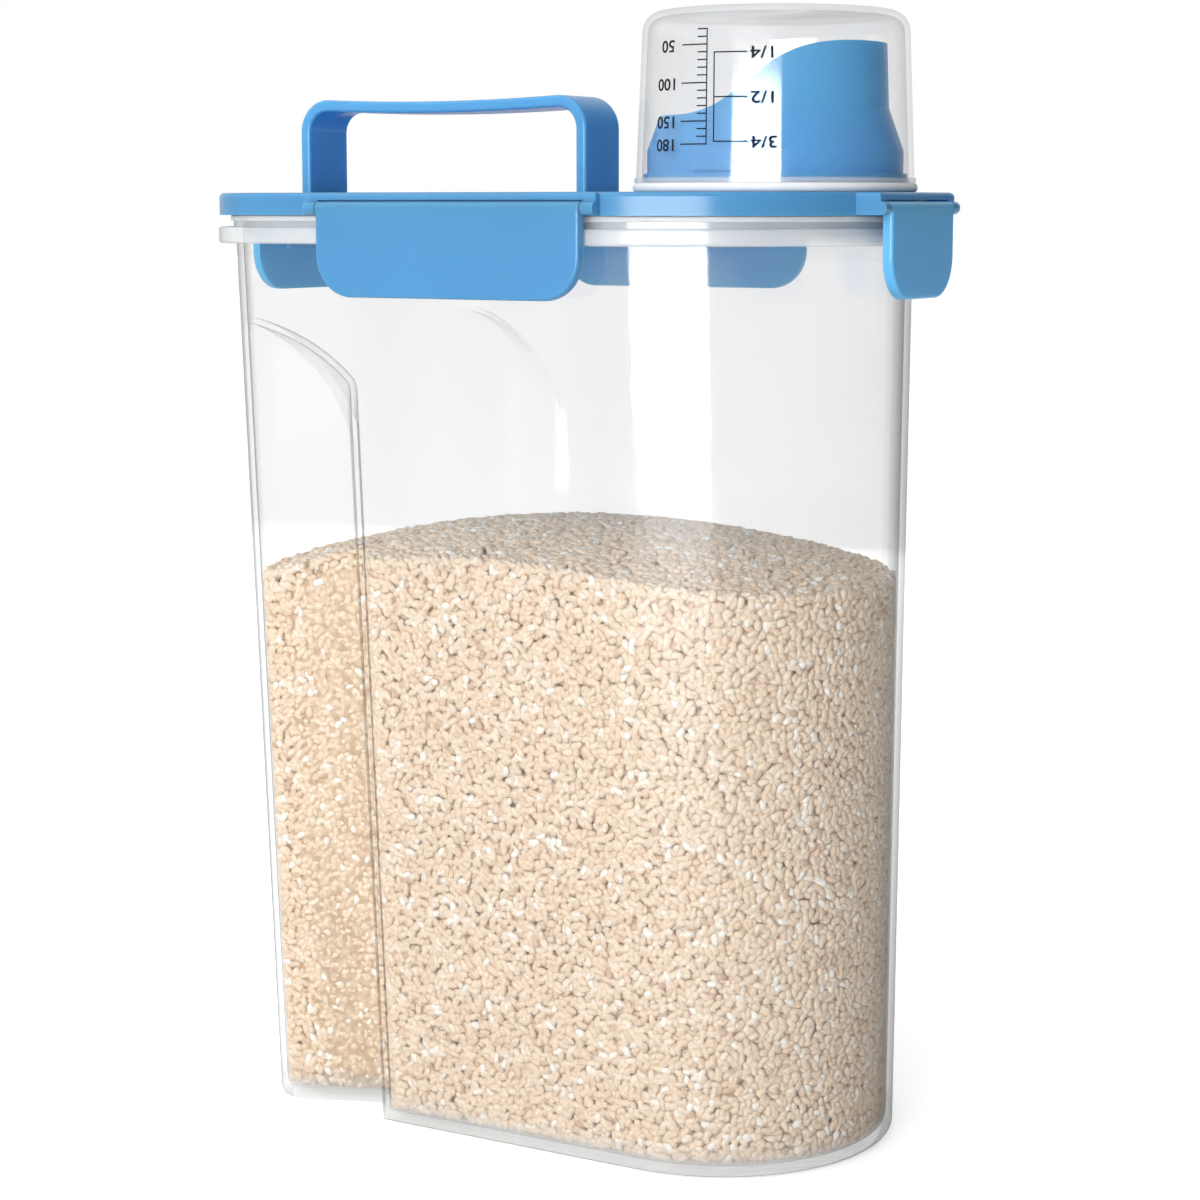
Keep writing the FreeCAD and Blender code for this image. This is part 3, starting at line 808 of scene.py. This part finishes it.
class RICEBOX_OT_rice(bpy.types.Operator):
    """Fill the tub with rice: two layers of grains at the wall, one on top, and a core behind them"""

    bl_idname = "ricebox.rice"
    bl_label = "Rice"

    def execute(self, context):
        settings = context.scene.ricebox.rice
        random = np.random.default_rng(settings.seed)
        surface = tub_surface()
        thick = settings.grain_thickness / 2.0
        # The core's darker tan is painted shade in the gaps between the grains
        rice_core(surface, settings, settings.grain_thickness * 1.5, rice_depth("rice_depth"))
        pitch = settings.spacing
        outer = wall_grains(surface, settings, random, thick + WALL_ROOM, pitch)
        inner = wall_grains(surface, settings, random, 2.3 * thick + WALL_ROOM, pitch * 1.1)
        top = top_grains(surface, settings, random, pitch * 0.92)
        layers = [(outer, 0.42, "rice_wall"), (inner, 0.35, "rice_inner"), (top, 0.28, "rice_top")]
        skin = rice_skin("rice_skin")
        for (spots, faces), lean, name in layers:
            count = len(spots)
            axes = grain_axes(faces, random, lean)
            sizes = np.stack((
                settings.grain_length / 2.0 * random.uniform(0.86, 1.08, count),
                settings.grain_width / 2.0 * random.uniform(0.88, 1.06, count),
                thick * random.uniform(0.9, 1.05, count),
            ), axis=1)
            tones = (MIDDLE_TONE + random.normal(0.0, TONE_SPREAD, count)).clip(*TONE_LIMITS)
            tones[random.random(count) < CHALKY_SHARE] = CHALKY_TONE
            tones[random.random(count) < BROWN_SHARE] = BROWN_TONE
            keep_clear(surface, spots, axes[0], sizes[:, 0], thick * 0.9)
            parts = max(1, math.ceil(count / GRAINS_IN_PIECE))
            order = np.argsort(np.arctan2(spots[:, 1], spots[:, 0]), kind="stable")
            for part, chosen in enumerate(np.array_split(order, parts)):
                grain_piece(
                    "%s_%d" % (name, part + 1), spots[chosen], [axis[chosen] for axis in axes],
                    sizes[chosen], tones[chosen], skin)
        return {"FINISHED"}


# Printed scale


def cup_radius(height):
    """Outer radius of the cup at a height, from its mouth and its top."""
    share = (height - CUP_LOW.z) / (CUP_HIGH.z - CUP_LOW.z)
    return CUP_MOUTH_RADIUS + (CUP_TOP_RADIUS - CUP_MOUTH_RADIUS) * share


def on_cup(angle, height, lift):
    """Point on the cup's wall: angle counted from the near side towards the front."""
    radius = cup_radius(height) + lift
    angle += PRINT_LEAN * (height - CUP_LOW.z) / (CUP_HIGH.z - CUP_LOW.z)
    return (CUP_CENTRE.x + radius * math.sin(angle), CUP_CENTRE.y - radius * math.cos(angle), height)


def outline_spot(point):
    """Place of an outline point in the plane of the number, rounded so that both its faces share it."""
    return (round(point.x, 7), round(point.y, 7))


def widen_strokes(mesh, amount):
    """Move the outline of a number outwards, which makes its strokes bolder."""
    pushes = {}
    for face in mesh.polygons:
        if abs(face.normal.z) < 0.5:
            for corner in face.vertices:
                spot = outline_spot(mesh.vertices[corner].co)
                pushes[spot] = pushes.get(spot, Vector()) + face.normal
    for vertex in mesh.vertices:
        vertex.co += pushes[outline_spot(vertex.co)].normalized() * amount


class PrintMesh:
    """Collects the closed shapes of the printed scale."""

    def __init__(self, settings):
        self.film = settings.film
        self.bold = settings.bold
        self.points = []
        self.faces = []

    def bar(self, angle_low, angle_high, low, high):
        """Strip of ink along the cup between two angles and two heights."""
        steps = max(1, math.ceil(abs(angle_high - angle_low) / PRINT_STEP))
        first = len(self.points)
        for step in range(steps + 1):
            angle = angle_low + (angle_high - angle_low) * step / steps
            for height, lift in ((low, 0.0), (high, 0.0), (high, self.film), (low, self.film)):
                self.points.append(on_cup(angle, height, lift))
        for step in range(steps):
            here = first + 4 * step
            for side in range(4):
                after = (side + 1) % 4
                self.faces.append((here + side, here + after, here + 4 + after, here + 4 + side))
        self.faces.append((first + 3, first + 2, first + 1, first))
        end = first + 4 * steps
        self.faces.append((end, end + 1, end + 2, end + 3))

    def number(self, text, angle, height, size):
        """Number on the cup, upside down because the cup stands on its mouth."""
        curve = bpy.data.curves.new("scale_number", "FONT")
        curve.body = text
        curve.size = size / DIGIT_SHARE
        curve.align_x = "CENTER"
        curve.align_y = "CENTER"
        curve.resolution_u = 4
        curve.extrude = self.film / 2.0
        shape = bpy.data.objects.new("scale_number", curve)
        bpy.context.scene.collection.objects.link(shape)
        drawn = shape.evaluated_get(bpy.context.evaluated_depsgraph_get())
        mesh = bpy.data.meshes.new_from_object(drawn)
        widen_strokes(mesh, self.bold)
        first = len(self.points)
        radius = cup_radius(height)
        for vertex in mesh.vertices:
            x, y, z = vertex.co
            lift = z + self.film / 2.0
            self.points.append(on_cup(angle - x * DIGIT_STRETCH / radius, height - y, lift))
        for face in mesh.polygons:
            self.faces.append(tuple(first + corner for corner in face.vertices))
        bpy.data.objects.remove(shape)
        bpy.data.curves.remove(curve)
        bpy.data.meshes.remove(mesh)


class RICEBOX_OT_scale(bpy.types.Operator):
    """Print a volume scale in lines and plain numbers on the near side of the cup"""

    bl_idname = "ricebox.scale"
    bl_label = "Cup scale"

    def execute(self, context):
        settings = context.scene.ricebox.print
        ink = PrintMesh(settings)
        half = settings.line / 2.0
        thin = settings.line / cup_radius(LID_TOP) / 2.0
        heights = {mark: LID_TOP + SCALE_ZERO - SCALE_FALL * mark for mark in SCALE_MARKS}
        lowest, highest = min(heights.values()), max(heights.values())
        ink.bar(SCALE_ANGLE - thin, SCALE_ANGLE + thin, lowest - half, highest + half)
        for mark, height in heights.items():
            start = LONG_MARK_ANGLE if mark in NUMBERED_MARKS else SHORT_MARK_ANGLE
            ink.bar(start, SCALE_ANGLE - thin, height - half, height + half)
        for mark in NUMBERED_MARKS:
            ink.number(str(mark), NUMBER_ANGLE, heights[mark], settings.digit_height)
        quarters = {text: LID_TOP + height for text, height in QUARTER_HEIGHTS.items()}
        lowest, highest = min(quarters.values()), max(quarters.values())
        ink.bar(QUARTER_ANGLE - thin, QUARTER_ANGLE + thin, lowest - half, highest + half)
        for text, height in quarters.items():
            ink.bar(QUARTER_ANGLE + thin, BRANCH_ANGLE, height - half, height + half)
            ink.number(text, FRACTION_ANGLE, height, settings.digit_height)
        mesh = bpy.data.meshes.new("cup_scale_print")
        mesh.from_pydata(ink.points, [], ink.faces)
        mesh.update()
        piece = link_mesh("cup_scale_print", mesh, scale_ink("scale_ink", settings))
        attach(piece, "measuring_cup")
        return {"FINISHED"}


# CAD pieces


class RICEBOX_OT_tub(bpy.types.Operator):
    """Finish the tub in clear plastic with a frosted rim"""

    bl_idname = "ricebox.tub"
    bl_label = "Tub"

    def execute(self, context):
        settings = context.scene.ricebox.clear
        dress("container_body", clear_plastic(
            "clear_tub_wall", settings, settings.edge_tint, TUB_REAR_GLOSS_SHARE, tub_haze(settings)))
        return {"FINISHED"}


class RICEBOX_OT_cup(bpy.types.Operator):
    """Finish the measuring cup in clear plastic"""

    bl_idname = "ricebox.cup"
    bl_label = "Measuring cup"

    def execute(self, context):
        settings = context.scene.ricebox.clear
        edge_tint = shade(settings.edge_tint, CUP_EDGE_SHADE_FACTOR)
        dress("measuring_cup", clear_plastic(
            "clear_cup_wall", settings, edge_tint, CUP_REAR_GLOSS_SHARE, cup_haze))
        return {"FINISHED"}


class RICEBOX_OT_lid(bpy.types.Operator):
    """Finish the lid, the carry handle and the pour spout in blue plastic"""

    bl_idname = "ricebox.lid"
    bl_label = "Lid, handle and spout"

    def execute(self, context):
        settings = context.scene.ricebox.blue
        dress("lid", blue_plastic("blue_lid", settings, 1.0))
        # Handle and spout get a paler copy of the blue: painted light on pieces that sit in shade
        dress("carry_handle", blue_plastic("blue_handle", settings, HANDLE_DULLNESS, HANDLE_PAINTED_LIGHT))
        dress("pour_spout", blue_plastic("blue_spout", settings, SPOUT_DULLNESS, SPOUT_PAINTED_LIGHT))
        return {"FINISHED"}


class RICEBOX_OT_latches(bpy.types.Operator):
    """Finish the four latches in blue plastic and their pins in steel"""

    bl_idname = "ricebox.latches"
    bl_label = "Latches"

    def execute(self, context):
        settings = context.scene.ricebox.blue
        near = blue_plastic("blue_latch", settings, LATCH_DULLNESS)
        # The front, far and rear latches get paler copies of the blue: painted light on latches that sit in
        # shade
        front = blue_plastic("blue_front_latch_painted_light", settings, LATCH_DULLNESS, FRONT_LATCH_PAINTED_LIGHT)
        painted_light_latch = blue_plastic("blue_latch_painted_light", settings, LATCH_DULLNESS, SHADED_LATCH_PAINTED_LIGHT)
        plastics = {
            "near_side_latch": near,
            "front_latch": front,
            "far_side_latch": painted_light_latch,
            "rear_latch": painted_light_latch,
        }
        wire = drawn_wire("hinge_pin_wire")
        for latch, plastic in plastics.items():
            dress(latch, plastic)
            dress(latch + "_pin", wire)
        return {"FINISHED"}


class RICEBOX_OT_seals(bpy.types.Operator):
    """Finish the lid gasket and the cup seal in white silicone"""

    bl_idname = "ricebox.seals"
    bl_label = "Seals"

    def execute(self, context):
        silicone = soft_white("white_silicone")
        dress("lid_gasket", silicone)
        dress("cup_seal", silicone)
        return {"FINISHED"}


# Stage


def add_floor(settings):
    """Plain square floor under the container."""
    low, high = -FLOOR_HALF, FLOOR_HALF
    corners = [(low, low, 0.0), (high, low, 0.0), (high, high, 0.0), (low, high, 0.0)]
    mesh = bpy.data.meshes.new("floor")
    mesh.from_pydata(corners, [], [(0, 1, 2, 3)])
    link_mesh("floor", mesh, floor_paint("floor_paint", settings))


def add_surround(settings):
    """Surround that shows as white, and lights less, least from the spout's side."""
    world = bpy.data.worlds.new("white_surround")
    world.use_nodes = True
    tree = world.node_tree
    tree.nodes.clear()
    output = tree.nodes.new("ShaderNodeOutputWorld")
    path = tree.nodes.new("ShaderNodeLightPath")
    shown = add_node(tree, "ShaderNodeBackground", {"Color": (1.0, 1.0, 1.0, 1.0), "Strength": 1.0})
    directions = add_node(tree, "ShaderNodeTexCoord").outputs["Generated"]
    ways = add_node(tree, "ShaderNodeSeparateXYZ", {0: directions})
    strength = add_node(tree, "ShaderNodeMapRange", {
        "Value": ways.outputs["X"], "From Min": DARK_START, "From Max": DARK_END,
        "To Min": settings.surround, "To Max": settings.dark_side,
    }, clamp=True, interpolation_type="SMOOTHSTEP").outputs["Result"]
    light = add_node(tree, "ShaderNodeBackground", {"Color": (1.0, 1.0, 1.0, 1.0), "Strength": strength})
    mix = add_node(tree, "ShaderNodeMixShader", {
        0: path.outputs["Is Camera Ray"], 1: light.outputs[0], 2: shown.outputs[0]})
    tree.links.new(mix.outputs[0], output.inputs["Surface"])
    bpy.context.scene.world = world


def add_light(name, kind, place, aim, **values):
    """Light at a place, turned towards a point and not seen itself through the clear walls."""
    data = bpy.data.lights.new(name, kind)
    for key, value in values.items():
        setattr(data, key, value)
    light = bpy.data.objects.new(name, data)
    light.location = place
    light.rotation_euler = (Vector(aim) - Vector(place)).to_track_quat("-Z", "Y").to_euler()
    light.visible_camera = False
    bpy.context.scene.collection.objects.link(light)
    return light


def add_softbox(name, place, aim, size, power):
    """Rectangular softbox."""
    return add_light(
        name, "AREA", place, aim, energy=power, shape="RECTANGLE", size=size[0], size_y=size[1])


def add_front_softbox(name, distance, height, size, power):
    """Softbox upright in front of the near side, which faces the container's axis."""
    across = distance * math.sin(FRONT_BEARING)
    away = -distance * math.cos(FRONT_BEARING)
    return add_softbox(name, (across, away, height), (0.0, 0.0, height), size, power)


def add_camera(settings):
    """Camera at the photograph's viewing angle."""
    data = bpy.data.cameras.new("photo_camera")
    data.sensor_width = 36.0
    data.lens = settings.lens
    data.clip_start = 0.01
    camera = bpy.data.objects.new("photo_camera", data)
    camera.location = settings.camera_place
    camera.rotation_euler = (math.pi / 2.0 - settings.camera_dip, 0.0, settings.camera_turn)
    bpy.context.scene.collection.objects.link(camera)
    bpy.context.scene.camera = camera


class RICEBOX_OT_stage(bpy.types.Operator):
    """Set up the floor, the white surround, the lights and the camera"""

    bl_idname = "ricebox.stage"
    bl_label = "Stage"

    def execute(self, context):
        settings = context.scene.ricebox.studio
        add_floor(settings)
        add_surround(settings)
        key = add_front_softbox("front_softbox", KEY_DISTANCE, KEY_HEIGHT, KEY_SIZE, settings.key_power)
        key.visible_glossy = False
        gleam = add_front_softbox(
            "gleam_softbox", GLEAM_DISTANCE, GLEAM_HEIGHT, GLEAM_SIZE, settings.gleam_power)
        gleam.visible_diffuse = False
        back = add_softbox("back_softbox", BACK_PLACE, BACK_AIM, BACK_SIZE, settings.back_power)
        back.visible_glossy = False
        add_light(
            "top_light", "SUN", TOP_PLACE, TOP_AIM, energy=settings.sun_strength, angle=TOP_SOFTNESS)
        add_camera(settings)
        view = context.scene.view_settings
        view.view_transform = "Standard"
        view.look = "None"
        context.scene.cycles.transparent_max_bounces = CLEAR_SURFACES
        return {"FINISHED"}


# Add-on


class RICEBOX_PT_panel(bpy.types.Panel):
    """Sidebar panel with the steps that finish the container"""

    bl_idname = "RICEBOX_PT_panel"
    bl_label = "Rice container"
    bl_space_type = "VIEW_3D"
    bl_region_type = "UI"
    bl_category = "Rice container"

    def draw(self, context):
        for step in STEPS:
            self.layout.operator(step.bl_idname)


STEPS = (
    RICEBOX_OT_stage,
    RICEBOX_OT_tub,
    RICEBOX_OT_rice,
    RICEBOX_OT_lid,
    RICEBOX_OT_latches,
    RICEBOX_OT_seals,
    RICEBOX_OT_cup,
    RICEBOX_OT_scale,
)

CLASSES = (
    BlueSettings,
    ClearSettings,
    RiceSettings,
    PrintSettings,
    StudioSettings,
    ContainerSettings,
    *STEPS,
    RICEBOX_PT_panel,
)


def register():
    """Register the classes and add the settings to the scene."""
    for item in CLASSES:
        bpy.utils.register_class(item)
    bpy.types.Scene.ricebox = PointerProperty(
        name="Rice container", description="Settings of the rice container", type=ContainerSettings)


def unregister():
    """Take the settings and the classes away again."""
    del bpy.types.Scene.ricebox
    for item in reversed(CLASSES):
        bpy.utils.unregister_class(item)


def main():
    """Register the add-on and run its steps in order."""
    register()
    bpy.ops.ricebox.stage()
    bpy.ops.ricebox.tub()
    bpy.ops.ricebox.rice()
    bpy.ops.ricebox.lid()
    bpy.ops.ricebox.latches()
    bpy.ops.ricebox.seals()
    bpy.ops.ricebox.cup()
    bpy.ops.ricebox.scale()


if __name__ == "__main__":
    main()
